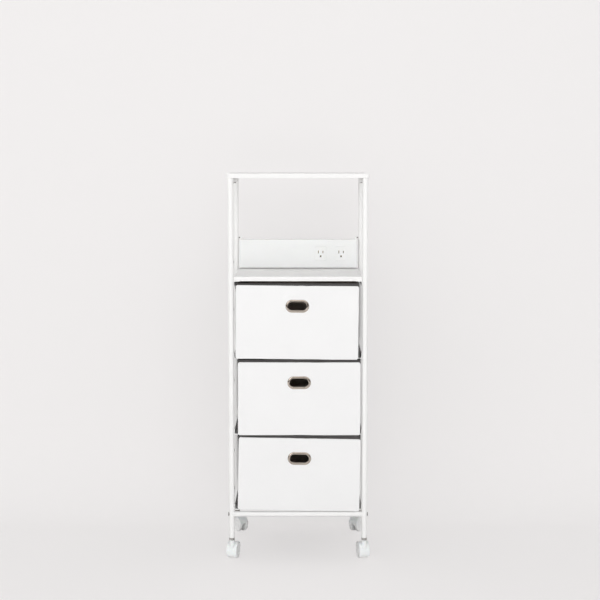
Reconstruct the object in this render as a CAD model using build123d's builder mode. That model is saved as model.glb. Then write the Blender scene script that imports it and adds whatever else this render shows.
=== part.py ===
from build123d import *
import os
from math import cos, radians, sin

# Rolling drawer cart. Millimetres, +Z up, the front faces -Y.
# The origin is on the floor, under the middle of the four posts.

# Posts and welded tubes
post_spacing_x = 353
post_spacing_y = 290
post_diameter = 15
post_wall = 1.2
cross_tube_diameter = 14
cross_tube_wall = 1.2
tie_bar_diameter = 10
tie_bar_wall = 1
bottom_rail_above_foot = 63.5
weld_gap = 0.05

# Angle runners
runner_thickness = 1.5
runner_leg_up = 14
runner_leg_in = 16
runner_corner = 4
runner_bend_radius = 1.2

# Boards
top_board_thickness = 12
top_board_overhang = 3
top_board_corner = 6
middle_board_thickness = 12
middle_board_side_gap = 0.5
middle_board_past_posts = 3
middle_board_corner = 2
board_edge_chamfer = 0.8
bay_height = 258

# Drawers, counted from the top
drawer_count = 3
front_height = 195
front_thickness = 4
front_corner = 5
front_edge_radius = 1.5
front_setback = 1
front_side_gap = 7
gap_between_fronts = 8
gap_under_middle_board = 11.5
drawer_side_shifts = (-2, 3, 3)
rail_to_front_gap = 3.5
runner_above_front_edge = 3
seat_gap = 0.3
body_side_play = 4
body_wall = 3
body_bottom_radius = 3
body_corner = 7
body_below_front_top = 4
body_to_tie_bar_gap = 0.5
base_board_thickness = 3
base_board_play = 1
tie_bar_above_front_edge = 100

# Handle hole and its grommet
grommet_width = 62
grommet_height = 34
grommet_rim = 6.5
grommet_rim_height = 3
grommet_rim_radius = 2.4
grommet_lip_radius = 0.8
sleeve_wall = 1.5
sleeve_gap = 0.3
washer_thickness = 1.5
washer_inset = 1
handle_below_front_top = 54

# Screws through the posts
screw_radius = 2.5
screw_clearance = 0.05
screw_length = 30
screw_head_radius = 4.75
screw_head_height = 1.6
screw_socket_radius = 1.6
screw_socket_depth = 0.9
insert_length = 16
insert_gap = 0.05
insert_setback = 0.5

# Screws that hold the boards
board_screw_radius = 2
board_screw_head_radius = 4.25
board_screw_head_height = 2.4
board_screw_depth = 9
screw_tip_room = 0.5
top_screw_from_middle = 75
middle_screw_from_middle = 100
middle_screw_from_edge = 9

# Power panel
panel_height = 79.5
panel_depth = 31
panel_above_board = 2.5
panel_rear_setback = 1
panel_side_gap = 0.5
panel_wall = 2.5
panel_end_bevel = 5
panel_edge_radius = 1.5
rear_cover_thickness = 2.5
rear_cover_corner = 2
cover_screw_radius = 1.5
cover_screw_length = 12
cover_screw_head_radius = 2.8
cover_screw_head_height = 1.4
cover_boss_radius = 3.5
cover_boss_from_end = 18
cover_boss_from_edge = 11
panel_screw_above_edge = 14
end_boss_length = 14
lug_thickness = 5
lug_radius = 4
lug_rise = 4.5
lug_from_post = 4.2
lug_head_radius = 2.8
lug_head_depth = 2.5
lug_screw_past_post = 2

# Receptacles
receptacle_pitch = 57.6
receptacle_from_panel_end = 48.2
receptacle_width = 33
receptacle_height = 40
receptacle_corner = 4
receptacle_gap = 0.2
receptacle_inset = 0.4
receptacle_flange = 2
receptacle_depth = 19
slot_spacing = 12.7
slot_width = 2.2
live_slot_height = 6.6
neutral_slot_height = 8.2
slot_above_middle = 4.35
ground_below_slots = 11.9
ground_radius = 2.5
pocket_depth = 15
contact_thickness = 0.4
contact_gap = 0.05
contact_length = 9

# Cord gland
gland_from_panel_end = 38.5
gland_bore_radius = 3.2
gland_neck_radius = 5
gland_flange_radius = 7.5
gland_flange_thickness = 1.5
gland_nose_base_radius = 6
gland_nose_radius = 4.4
gland_nose_length = 6
gland_inside = 1.5

# Casters
wheel_diameter = 40
wheel_width = 8
wheel_gap = 0.5
wheel_edge_chamfer = 1.2
wheel_dish_radius = 12
wheel_dish_depth = 0.9
caster_trail = 16
hood_web = 11
hood_thickness = 2.2
hood_wheel_gap = 1.2
hood_back_angle = 15
hood_arc = 201
hood_edge_chamfer = 0.6
hub_radius = 7
boss_radius = 7.2
boss_rise = 11.5
boss_round = 2.5
stem_radius = 4
stem_clearance = 0.05
stem_in_hood = 29
stem_in_post = 22
stem_tip_gap = 0.3
foot_insert_length = 25
axle_radius = 2.5
axle_clearance = 0.05
axle_in_wheel = 6
axle_end_gap = 0.3
nut_across_flats = 13
nut_height = 6.5
nut_gap = 0.5
front_caster_turn = 12
rear_caster_turn = 35

# Heights, from the floor up
boss_top = wheel_diameter + boss_rise
nut_bottom = boss_top + nut_gap
post_foot = nut_bottom + nut_height
cross_tube_radius = cross_tube_diameter / 2
bottom_rail_z = post_foot + bottom_rail_above_foot
lowest_front_edge = bottom_rail_z + cross_tube_radius + rail_to_front_gap
drawer_pitch = front_height + gap_between_fronts
front_edges = [lowest_front_edge + drawer_pitch * (drawer_count - 1 - i) for i in range(drawer_count)]
drawer_seats = [edge + runner_above_front_edge for edge in front_edges]
tie_bar_heights = [edge + tie_bar_above_front_edge for edge in front_edges]
middle_board_bottom = front_edges[0] + front_height + gap_under_middle_board
middle_board_top = middle_board_bottom + middle_board_thickness
post_top = middle_board_top + bay_height
top_rail_z = post_top - cross_tube_radius

# Posts, runners and boards
post_x = post_spacing_x / 2
post_y = post_spacing_y / 2
post_radius = post_diameter / 2
tie_bar_radius = tie_bar_diameter / 2
post_inner_x = post_x - post_radius
screw_seat_x = post_x + post_radius + weld_gap
runner_face_x = post_inner_x - weld_gap
runner_inner_x = runner_face_x - runner_thickness
top_board_width = post_spacing_x + post_diameter + 2 * top_board_overhang
top_board_depth = post_spacing_y + post_diameter + 2 * top_board_overhang
middle_board_width = 2 * (post_inner_x - middle_board_side_gap)
middle_board_depth = post_spacing_y + 2 * middle_board_past_posts
middle_screw_x = middle_board_width / 2 - middle_screw_from_edge
top_screw_places = [(x * post_x, y * top_screw_from_middle) for x in (-1, 1) for y in (-1, 1)]
middle_screw_places = [(x * middle_screw_x, y * middle_screw_from_middle) for x in (-1, 1) for y in (-1, 1)]

# Drawers
front_width = 2 * (post_inner_x - front_side_gap)
front_face_y = -(post_y + post_radius) + front_setback
front_back_y = front_face_y + front_thickness
body_width = 2 * (runner_inner_x - body_side_play)
body_back_y = post_y - tie_bar_radius - body_to_tie_bar_gap
body_depth = body_back_y - front_back_y
body_middle_y = (body_back_y + front_back_y) / 2
hole_width = grommet_width - 2 * grommet_rim
hole_height = grommet_height - 2 * grommet_rim
sleeve_length = front_thickness + body_wall + washer_thickness
washer_front_y = front_back_y + body_wall

# Power panel
panel_bottom = middle_board_top + panel_above_board
panel_middle_z = panel_bottom + panel_height / 2
panel_top = panel_bottom + panel_height
panel_back_y = post_y + post_radius - panel_rear_setback
panel_front_y = panel_back_y - panel_depth
cover_front_y = panel_back_y - rear_cover_thickness
panel_half_width = post_inner_x - panel_side_gap
panel_screw_z = panel_bottom + panel_screw_above_edge
end_boss_radius = cover_front_y - post_y
lug_outer_x = post_inner_x - lug_from_post
lug_z = panel_top + lug_rise
cover_screw_x = panel_half_width - cover_boss_from_end
cover_screw_rise = panel_height / 2 - cover_boss_from_edge
cover_screw_places = [
    (x * cover_screw_x, panel_middle_z + z * cover_screw_rise) for x in (-1, 1) for z in (-1, 1)
]
right_receptacle_x = panel_half_width - receptacle_from_panel_end
receptacle_places_x = (right_receptacle_x - receptacle_pitch, right_receptacle_x)
gland_place_x = gland_from_panel_end - panel_half_width
slot_z = panel_middle_z + slot_above_middle
ground_z = slot_z - ground_below_slots

# Casters
wheel_radius = wheel_diameter / 2
wheel_inner_face = hood_web / 2 + wheel_gap
caster_half_width = wheel_inner_face + wheel_width
hood_radius = wheel_radius + hood_wheel_gap + hood_thickness
stem_length = stem_in_hood + nut_gap + nut_height + stem_in_post

# Sides and ends, and the heights of the screws that run through the posts
sides = {"left": -1, "right": 1}
ends = {"front": -1, "rear": 1}
screw_heights = {
    "front": [bottom_rail_z],
    "rear": [bottom_rail_z, *tie_bar_heights, panel_screw_z],
}


def finish(part, name):
    """Labels a finished piece and writes it to its own file."""
    part.label = name
    export_step(part, f"parts/{name}.step")


def post(side, end, heights):
    """Round tube with the screw holes that run through it from side to side."""
    with BuildPart() as tube:
        with BuildSketch(Plane.XY.offset(post_foot)):
            with Locations((side * post_x, end * post_y)):
                Circle(post_radius)
                Circle(post_radius - post_wall, mode=Mode.SUBTRACT)
        extrude(amount=post_top - post_foot)
        with BuildSketch(Plane.YZ.offset(side * post_x)):
            with Locations(*[(end * post_y, height) for height in heights]):
                Circle(screw_radius + screw_clearance)
        extrude(amount=post_radius, both=True, mode=Mode.SUBTRACT)
        if end == ends["rear"]:
            with BuildSketch(Plane.YZ.offset(side * post_x)):
                with Locations((end * post_y, lug_z)):
                    Circle(cover_screw_radius + screw_clearance)
            extrude(amount=-side * post_radius, mode=Mode.SUBTRACT)
    return tube.part


def post_outlines():
    """Round outlines of the four posts with the weld gap, which cope the ends of the tubes."""
    with BuildSketch(Plane.XY) as outlines:
        with GridLocations(post_spacing_x, post_spacing_y, 2, 2):
            Circle(post_radius + weld_gap)
    return outlines.sketch


def top_rail(side):
    """Side tube under the top board, welded between a front and a rear post."""
    with BuildPart() as rail:
        with BuildSketch(Plane.XZ):
            with Locations((side * post_x, top_rail_z)):
                Circle(cross_tube_radius)
                Circle(cross_tube_radius - cross_tube_wall, mode=Mode.SUBTRACT)
        extrude(amount=post_y, both=True)
        extrude(post_outlines(), amount=post_top, mode=Mode.SUBTRACT)
        with BuildSketch(Plane.XY.offset(top_rail_z)):
            with Locations(*[(side * post_x, y * top_screw_from_middle) for y in (-1, 1)]):
                Circle(board_screw_radius + screw_clearance)
        extrude(amount=cross_tube_radius, both=True, mode=Mode.SUBTRACT)
    return rail.part


def cross_tubes(y, heights, radius, wall):
    """Straight tubes from the left post to the right post, one at each height."""
    with BuildPart() as tube:
        with BuildSketch(Plane.YZ):
            with Locations(*[(y, height) for height in heights]):
                Circle(radius)
                Circle(radius - wall, mode=Mode.SUBTRACT)
        extrude(amount=post_x, both=True)
        extrude(post_outlines(), amount=post_top, mode=Mode.SUBTRACT)
    return tube.part


def rail_inserts():
    """Threaded plugs inside the ends of the bottom rails and of the tie bars."""
    rows = (
        (-post_y, [bottom_rail_z], cross_tube_radius - cross_tube_wall),
        (post_y, [bottom_rail_z], cross_tube_radius - cross_tube_wall),
        (post_y, tie_bar_heights, tie_bar_radius - tie_bar_wall),
    )
    with BuildPart() as inserts:
        for side in sides.values():
            for y, heights, radius in rows:
                with BuildSketch(Plane.YZ.offset(side * (post_inner_x - insert_setback))):
                    with Locations(*[(y, height) for height in heights]):
                        Circle(radius - insert_gap)
                        Circle(screw_radius + screw_clearance, mode=Mode.SUBTRACT)
                extrude(amount=-side * insert_length)
    return inserts.part


def runners(side):
    """The four angle runners of one side: one under the middle board, one under each drawer."""
    drawer_undersides = [seat - runner_thickness for seat in drawer_seats]
    flat_x = side * (runner_face_x - runner_leg_in / 2)
    upright_x = side * (runner_face_x - runner_thickness / 2)
    bends = [(side * runner_face_x, 0, z) for z in [middle_board_bottom, *drawer_undersides]]
    with BuildPart() as angles:
        with BuildSketch(Plane.XZ) as section:
            with Locations(*[(flat_x, seat) for seat in [middle_board_bottom, *drawer_seats]]):
                Rectangle(runner_leg_in, runner_thickness, align=(Align.CENTER, Align.MAX))
            with Locations((upright_x, middle_board_bottom)):
                Rectangle(runner_thickness, runner_leg_up, align=(Align.CENTER, Align.MAX))
            with Locations(*[(upright_x, z) for z in drawer_undersides]):
                Rectangle(runner_thickness, runner_leg_up, align=(Align.CENTER, Align.MIN))
            fillet([section.vertices().sort_by_distance(bend)[0] for bend in bends], runner_bend_radius)
        extrude(amount=post_y, both=True)
        upright_edges = angles.edges().filter_by(Axis.Z).group_by(Axis.X)
        chamfer(upright_edges[0] if side > 0 else upright_edges[-1], runner_corner)
        with BuildSketch(Plane.XY.offset(middle_board_bottom)):
            with Locations(*[(side * middle_screw_x, y * middle_screw_from_middle) for y in (-1, 1)]):
                Circle(board_screw_radius + screw_clearance)
        extrude(amount=-runner_thickness, mode=Mode.SUBTRACT)
    return angles.part


def board(width, depth, corner, bottom, thickness, screw_places):
    """Flat board with eased edges and blind screw holes in its underside."""
    with BuildPart() as panel:
        with BuildSketch(Plane.XY.offset(bottom)):
            RectangleRounded(width, depth, corner)
        extrude(amount=thickness)
        levels = panel.edges().group_by(Axis.Z)
        chamfer(levels[0] + levels[-1], board_edge_chamfer)
        with BuildSketch(Plane.XY.offset(bottom)):
            with Locations(*screw_places):
                Circle(board_screw_radius + screw_clearance)
        extrude(amount=board_screw_depth + screw_tip_room, mode=Mode.SUBTRACT)
    return panel.part


def frame_screws():
    """Socket screws that run through the posts into the cross tubes and the power panel."""
    with BuildPart() as screws:
        for side in sides.values():
            places = [(ends[end] * post_y, z) for end in ends for z in screw_heights[end]]
            with BuildSketch(Plane.YZ.offset(side * screw_seat_x)):
                with Locations(*places):
                    Circle(screw_head_radius)
            extrude(amount=side * screw_head_height)
            with BuildSketch(Plane.YZ.offset(side * screw_seat_x)):
                with Locations(*places):
                    Circle(screw_radius)
            extrude(amount=-side * screw_length)
            with BuildSketch(Plane.YZ.offset(side * (screw_seat_x + screw_head_height))):
                with Locations(*places):
                    RegularPolygon(screw_socket_radius, 6)
            extrude(amount=-side * screw_socket_depth, mode=Mode.SUBTRACT)
    return screws.part


def board_screws():
    """Screws driven upwards through the top rails and the upper runners into the boards."""
    with BuildPart() as screws:
        for seat_z, board_bottom, places in (
            (top_rail_z - cross_tube_radius - weld_gap, post_top, top_screw_places),
            (middle_board_bottom - runner_thickness, middle_board_bottom, middle_screw_places),
        ):
            with BuildSketch(Plane.XY.offset(seat_z)):
                with Locations(*places):
                    Circle(board_screw_head_radius)
            extrude(amount=-board_screw_head_height)
            with BuildSketch(Plane.XY.offset(seat_z)):
                with Locations(*places):
                    Circle(board_screw_radius)
            extrude(amount=board_bottom + board_screw_depth - seat_z)
    return screws.part


def post_grid_rings(bottom, height, outer_radius, inner_radius=0):
    """One round piece on the axis of each post, bored where it has an inner radius."""
    with BuildPart() as rings:
        with BuildSketch(Plane.XY.offset(bottom)):
            with GridLocations(post_spacing_x, post_spacing_y, 2, 2):
                Circle(outer_radius)
                if inner_radius:
                    Circle(inner_radius, mode=Mode.SUBTRACT)
        extrude(amount=height)
    return rings.part


def caster_nuts():
    """Hexagon nuts that lock the caster stems against the foot of each post."""
    with BuildPart() as nuts:
        with BuildSketch(Plane.XY.offset(nut_bottom)):
            with GridLocations(post_spacing_x, post_spacing_y, 2, 2):
                RegularPolygon(nut_across_flats / 2, 6, major_radius=False)
                Circle(stem_radius + stem_clearance, mode=Mode.SUBTRACT)
        extrude(amount=nut_height)
    return nuts.part


def power_housing():
    """Moulded front shell between the rear posts, open at the back."""
    with BuildPart() as housing:
        with BuildSketch(Plane.XZ.offset(-cover_front_y)):
            with Locations((0, panel_middle_z)):
                Rectangle(2 * panel_half_width, panel_height)
        extrude(amount=cover_front_y - panel_front_y)
        front = housing.faces().sort_by(Axis.Y)[0]
        chamfer(front.edges().filter_by(Axis.Z), panel_end_bevel)
        offset(amount=-panel_wall, openings=housing.faces().sort_by(Axis.Y)[-1])
        front = housing.faces().sort_by(Axis.Y)[0]
        fillet(front.edges().filter_by(Axis.X), panel_edge_radius)

        # Windows for the receptacles
        with BuildSketch(Plane.XZ.offset(-panel_front_y)):
            with Locations(*[(x, panel_middle_z) for x in receptacle_places_x]):
                RectangleRounded(
                    receptacle_width + 2 * receptacle_gap,
                    receptacle_height + 2 * receptacle_gap,
                    receptacle_corner + receptacle_gap,
                )
        extrude(amount=-panel_wall, mode=Mode.SUBTRACT)

        # Bosses behind the front wall for the cover screws
        with BuildSketch(Plane.XZ.offset(-cover_front_y)):
            with Locations(*cover_screw_places):
                Circle(cover_boss_radius)
        extrude(amount=cover_front_y - panel_front_y - panel_wall / 2)
        with BuildSketch(Plane.XZ.offset(-cover_front_y)):
            with Locations(*cover_screw_places):
                Circle(cover_screw_radius + screw_clearance)
        extrude(amount=cover_screw_length, mode=Mode.SUBTRACT)

        # Bosses and lugs at the ends for the screws that hold the panel to the posts
        for side in sides.values():
            with BuildSketch(Plane.YZ.offset(side * (panel_half_width - panel_wall / 2))):
                with Locations((post_y, panel_screw_z)):
                    Circle(end_boss_radius)
            extrude(amount=-side * end_boss_length)
            with BuildSketch(Plane.YZ.offset(side * panel_half_width)):
                with Locations((post_y, panel_screw_z)):
                    Circle(screw_radius + screw_clearance)
            extrude(amount=-side * (end_boss_length + panel_wall), mode=Mode.SUBTRACT)
            with BuildSketch(Plane.YZ.offset(side * lug_outer_x)):
                with Locations((post_y, lug_z)):
                    Circle(lug_radius)
                    Rectangle(2 * lug_radius, lug_rise + panel_wall / 2, align=(Align.CENTER, Align.MAX))
            extrude(amount=-side * lug_thickness)
            with BuildSketch(Plane.YZ.offset(side * lug_outer_x)):
                with Locations((post_y, lug_z)):
                    Circle(cover_screw_radius + screw_clearance)
            extrude(amount=-side * lug_thickness, mode=Mode.SUBTRACT)
            with BuildSketch(Plane.YZ.offset(side * (lug_outer_x - lug_thickness))):
                with Locations((post_y, lug_z)):
                    Circle(lug_head_radius + screw_clearance)
            extrude(amount=side * lug_head_depth, mode=Mode.SUBTRACT)
    return housing.part


def power_rear_cover():
    """Flat rear cover of the power panel with its screw holes and the cord hole."""
    with BuildPart() as cover:
        with BuildSketch(Plane.XZ.offset(-cover_front_y)):
            with Locations((0, panel_middle_z)):
                RectangleRounded(2 * panel_half_width, panel_height, rear_cover_corner)
            with Locations(*cover_screw_places):
                Circle(cover_screw_radius + screw_clearance, mode=Mode.SUBTRACT)
            with Locations((gland_place_x, panel_middle_z)):
                Circle(gland_neck_radius + screw_clearance, mode=Mode.SUBTRACT)
        extrude(amount=-rear_cover_thickness)
    return cover.part


def power_screws():
    """Screws of the rear cover, and the two that run through the top lugs into the posts."""
    with BuildPart() as screws:
        with BuildSketch(Plane.XZ.offset(-panel_back_y)):
            with Locations(*cover_screw_places):
                Circle(cover_screw_head_radius)
        extrude(amount=-cover_screw_head_height)
        with BuildSketch(Plane.XZ.offset(-panel_back_y)):
            with Locations(*cover_screw_places):
                Circle(cover_screw_radius)
        extrude(amount=cover_screw_length)
        for side in sides.values():
            head_x = lug_outer_x - lug_thickness
            with BuildSketch(Plane.YZ.offset(side * head_x)):
                with Locations((post_y, lug_z)):
                    Circle(lug_head_radius)
            extrude(amount=side * lug_head_depth)
            with BuildSketch(Plane.YZ.offset(side * head_x)):
                with Locations((post_y, lug_z)):
                    Circle(cover_screw_radius)
            extrude(amount=side * (post_inner_x + post_wall + lug_screw_past_post - head_x))
    return screws.part


def receptacle(x):
    """One earthed receptacle: a face in the window, a flange behind the wall and three pockets."""
    face_y = panel_front_y + receptacle_inset
    with BuildPart() as body:
        with BuildSketch(Plane.XZ.offset(-face_y)):
            with Locations((x, panel_middle_z)):
                RectangleRounded(receptacle_width, receptacle_height, receptacle_corner)
        extrude(amount=-receptacle_depth)
        with BuildSketch(Plane.XZ.offset(-(panel_front_y + panel_wall))):
            with Locations((x, panel_middle_z)):
                RectangleRounded(
                    receptacle_width + 2 * receptacle_flange,
                    receptacle_height + 2 * receptacle_flange,
                    receptacle_corner,
                )
        extrude(amount=-receptacle_flange)
        with BuildSketch(Plane.XZ.offset(-face_y)):
            with Locations((x - slot_spacing / 2, slot_z)):
                Rectangle(slot_width, neutral_slot_height)
            with Locations((x + slot_spacing / 2, slot_z)):
                Rectangle(slot_width, live_slot_height)
            with Locations((x, ground_z)):
                Circle(ground_radius)
        extrude(amount=-pocket_depth, mode=Mode.SUBTRACT)
    return body.part


def receptacle_contacts():
    """Folded blade contacts and ground sleeves at the bottom of the receptacle pockets."""
    bottom_y = panel_front_y + receptacle_inset + pocket_depth
    clip_width = slot_width - 2 * contact_gap
    with BuildPart() as contacts:
        with BuildSketch(Plane.XZ.offset(-bottom_y)):
            for x in receptacle_places_x:
                with Locations((x - slot_spacing / 2, slot_z)):
                    Rectangle(clip_width, neutral_slot_height - 2 * contact_gap)
                with Locations((x + slot_spacing / 2, slot_z)):
                    Rectangle(clip_width, live_slot_height - 2 * contact_gap)
                with Locations((x, ground_z)):
                    Circle(ground_radius - contact_gap)
        extrude(amount=contact_length)
        with BuildSketch(Plane.XZ.offset(-(bottom_y - contact_thickness))):
            blades = [x + side * slot_spacing / 2 for x in receptacle_places_x for side in (-1, 1)]
            with Locations(*[(x, slot_z) for x in blades]):
                Rectangle(clip_width - 2 * contact_thickness, neutral_slot_height)
            with Locations(*[(x, ground_z) for x in receptacle_places_x]):
                Circle(ground_radius - contact_gap - contact_thickness)
        extrude(amount=contact_length, mode=Mode.SUBTRACT)
    return contacts.part


def cord_gland():
    """Round inlet in the rear cover: neck, flange and a nose that narrows outwards."""
    flange_y = panel_back_y + gland_flange_thickness
    nose_y = flange_y + gland_nose_length
    with BuildPart() as gland:
        with BuildSketch(Plane.XY.offset(panel_middle_z)):
            with BuildLine():
                Polyline(
                    (gland_place_x + gland_bore_radius, cover_front_y - gland_inside),
                    (gland_place_x + gland_neck_radius, cover_front_y - gland_inside),
                    (gland_place_x + gland_neck_radius, panel_back_y),
                    (gland_place_x + gland_flange_radius, panel_back_y),
                    (gland_place_x + gland_flange_radius, flange_y),
                    (gland_place_x + gland_nose_base_radius, flange_y),
                    (gland_place_x + gland_nose_radius, nose_y),
                    (gland_place_x + gland_bore_radius, nose_y),
                    close=True,
                )
            make_face()
        revolve(axis=Axis((gland_place_x, 0, panel_middle_z), (0, 1, 0)))
    return gland.part


def trail_direction(side, end):
    """Level direction in which one caster trails: towards the middle of the cart."""
    turn = radians(front_caster_turn if end == ends["front"] else rear_caster_turn)
    return (-side * sin(turn), -end * cos(turn), 0)


def caster_plane(side, end):
    """Upright plane through one stem: local x along the trail, local y up, normal along the axle."""
    trail_x, trail_y, level = trail_direction(side, end)
    stem_foot = (side * post_x, end * post_y, 0)
    return Plane(origin=stem_foot, x_dir=(trail_x, trail_y, level), z_dir=(trail_y, -trail_x, 0))


def caster_hood(side, end):
    """Hood over both wheels with the web between them, the stem boss and the axle hole."""
    plane = caster_plane(side, end)
    with BuildPart() as hood:
        with BuildSketch(plane):
            with BuildLine():
                rim = CenterArc((caster_trail, wheel_radius), hood_radius, hood_back_angle, hood_arc)
                Line(rim @ 1, (caster_trail, wheel_radius))
                Line((caster_trail, wheel_radius), rim @ 0)
            make_face()
            with Locations((caster_trail, wheel_radius)):
                Circle(hub_radius)
        extrude(amount=caster_half_width, both=True)
        sides_of_hood = hood.faces().filter_by(Axis(plane.origin, plane.z_dir))
        rim_edges = sides_of_hood.edges().filter_by(GeomType.CIRCLE).group_by(SortBy.RADIUS)[-1]
        chamfer(rim_edges, hood_edge_chamfer)
        with BuildSketch(Plane.XY.offset(wheel_radius)):
            with Locations((side * post_x, end * post_y)):
                Circle(boss_radius)
        extrude(amount=boss_top - wheel_radius)
        fillet(hood.edges().group_by(Axis.Z)[-1], boss_round)
        for face in (-1, 1):
            with BuildSketch(plane.offset(face * hood_web / 2)):
                with Locations((caster_trail, wheel_radius)):
                    Circle(wheel_radius + hood_wheel_gap)
            extrude(amount=face * caster_half_width, mode=Mode.SUBTRACT)
        with BuildSketch(plane):
            with Locations((caster_trail, wheel_radius)):
                Circle(axle_radius + axle_clearance)
        extrude(amount=hood_web, both=True, mode=Mode.SUBTRACT)
        with BuildSketch(Plane.XY.offset(boss_top)):
            with Locations((side * post_x, end * post_y)):
                Circle(stem_radius + stem_clearance)
        extrude(amount=-(stem_in_hood + stem_tip_gap), mode=Mode.SUBTRACT)
    return hood.part


def caster_axle(side, end):
    """Plain pin through the web of the hood into both wheels."""
    with BuildPart() as axle:
        with BuildSketch(caster_plane(side, end)):
            with Locations((caster_trail, wheel_radius)):
                Circle(axle_radius)
        extrude(amount=wheel_inner_face + axle_in_wheel, both=True)
    return axle.part


def caster_wheel(side, end, face):
    """One of the twin wheels: a closed disc with a dished outside and a blind hub bore."""
    plane = caster_plane(side, end)
    trail = Vector(*trail_direction(side, end))
    centre = plane.origin + trail * caster_trail + Vector(0, 0, wheel_radius)
    outer_face = wheel_inner_face + wheel_width
    with BuildPart() as wheel:
        with BuildSketch(Plane(origin=centre, x_dir=plane.z_dir * face, z_dir=trail)):
            with BuildLine():
                Polyline(
                    (wheel_inner_face, axle_radius + axle_clearance),
                    (wheel_inner_face, wheel_radius),
                    (outer_face - wheel_edge_chamfer, wheel_radius),
                    (outer_face, wheel_radius - wheel_edge_chamfer),
                    (outer_face - wheel_dish_depth, wheel_dish_radius),
                    (outer_face - wheel_dish_depth, 0),
                    (wheel_inner_face + axle_in_wheel + axle_end_gap, 0),
                    (wheel_inner_face + axle_in_wheel + axle_end_gap, axle_radius + axle_clearance),
                    close=True,
                )
            make_face()
        revolve(axis=Axis(centre, plane.z_dir))
    return wheel.part


def handle_sketch(index, y, extra):
    """Stadium outline of one handle hole, made larger all round by the extra."""
    handle_z = front_edges[index] + front_height - handle_below_front_top
    with BuildSketch(Plane.XZ.offset(-y)) as outline:
        with Locations((drawer_side_shifts[index], handle_z)):
            SlotOverall(hole_width + 2 * extra, hole_height + 2 * extra)
    return outline.sketch


def drawer_body(index):
    """Soft-sided box, open at the top, with the hole behind the handle."""
    bottom = drawer_seats[index] + seat_gap
    top = front_edges[index] + front_height - body_below_front_top
    inner_width = body_width - 2 * body_wall
    inner_depth = body_depth - 2 * body_wall
    with BuildPart() as body:
        with BuildSketch(Plane.XY.offset(bottom)):
            with Locations((drawer_side_shifts[index], body_middle_y)):
                RectangleRounded(body_width, body_depth, body_corner)
        extrude(amount=top - bottom)
        fillet(body.edges().group_by(Axis.Z)[0], body_bottom_radius)
        with BuildSketch(Plane.XY.offset(bottom + body_wall)):
            with Locations((drawer_side_shifts[index], body_middle_y)):
                RectangleRounded(inner_width, inner_depth, body_corner - body_wall)
        extrude(amount=top - bottom, mode=Mode.SUBTRACT)
        extrude(
            handle_sketch(index, front_back_y, sleeve_wall + sleeve_gap),
            amount=-body_wall,
            mode=Mode.SUBTRACT,
        )
    return body.part


def drawer_front(index):
    """Stiff covered front with rounded corners and the stadium hole of the handle."""
    with BuildPart() as front:
        with BuildSketch(Plane.XZ.offset(-front_back_y)):
            with Locations((drawer_side_shifts[index], front_edges[index] + front_height / 2)):
                RectangleRounded(front_width, front_height, front_corner)
        extrude(amount=front_thickness)
        fillet(front.faces().sort_by(Axis.Y)[0].edges(), front_edge_radius)
        extrude(
            handle_sketch(index, front_back_y, sleeve_wall + sleeve_gap),
            amount=front_thickness,
            mode=Mode.SUBTRACT,
        )
    return front.part


def drawer_grommet(index):
    """Rounded rim of the handle with a sleeve that lines the hole."""
    with BuildPart() as grommet:
        extrude(handle_sketch(index, front_face_y, grommet_rim), amount=grommet_rim_height)
        fillet(grommet.faces().sort_by(Axis.Y)[0].edges(), grommet_rim_radius)
        extrude(handle_sketch(index, front_face_y, sleeve_wall), amount=-sleeve_length)
        extrude(
            handle_sketch(index, front_face_y - grommet_rim_height, 0),
            amount=-(grommet_rim_height + sleeve_length),
            mode=Mode.SUBTRACT,
        )
        fillet(grommet.faces().sort_by(Axis.Y)[0].inner_wires()[0].edges(), grommet_lip_radius)
    return grommet.part


def drawer_washer(index):
    """Flat ring behind the front wall that clamps the grommet."""
    with BuildPart() as washer:
        extrude(handle_sketch(index, washer_front_y, grommet_rim - washer_inset), amount=-washer_thickness)
        extrude(
            handle_sketch(index, washer_front_y, sleeve_wall + sleeve_gap),
            amount=-washer_thickness,
            mode=Mode.SUBTRACT,
        )
    return washer.part


def drawer_base_board(index):
    """Loose board that stiffens the floor of the drawer."""
    inset = body_wall + base_board_play
    with BuildPart() as base:
        with BuildSketch(Plane.XY.offset(drawer_seats[index] + seat_gap + body_wall)):
            with Locations((drawer_side_shifts[index], body_middle_y)):
                RectangleRounded(body_width - 2 * inset, body_depth - 2 * inset, body_corner - body_wall)
        extrude(amount=base_board_thickness)
    return base.part


os.makedirs("parts", exist_ok=True)

# Frame
for end_name, end in ends.items():
    for side_name, side in sides.items():
        finish(post(side, end, screw_heights[end_name]), f"{end_name}_{side_name}_post")
for side_name, side in sides.items():
    finish(top_rail(side), f"{side_name}_top_rail")
    finish(runners(side), f"{side_name}_runners")
for end_name, end in ends.items():
    rail = cross_tubes(end * post_y, [bottom_rail_z], cross_tube_radius, cross_tube_wall)
    finish(rail, f"{end_name}_bottom_rail")
finish(cross_tubes(post_y, tie_bar_heights, tie_bar_radius, tie_bar_wall), "rear_tie_bars")
finish(rail_inserts(), "rail_inserts")
finish(frame_screws(), "frame_screws")

# Boards
top_board = board(
    top_board_width,
    top_board_depth,
    top_board_corner,
    post_top,
    top_board_thickness,
    top_screw_places,
)
finish(top_board, "top_board")
middle_board = board(
    middle_board_width,
    middle_board_depth,
    middle_board_corner,
    middle_board_bottom,
    middle_board_thickness,
    middle_screw_places,
)
finish(middle_board, "middle_board")
finish(board_screws(), "board_screws")

# Power panel
finish(power_housing(), "power_panel_housing")
finish(power_rear_cover(), "power_panel_rear_cover")
finish(power_screws(), "power_panel_screws")
for name, x in zip(("left_receptacle", "right_receptacle"), receptacle_places_x):
    finish(receptacle(x), name)
finish(receptacle_contacts(), "receptacle_contacts")
finish(cord_gland(), "cord_gland")

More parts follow.
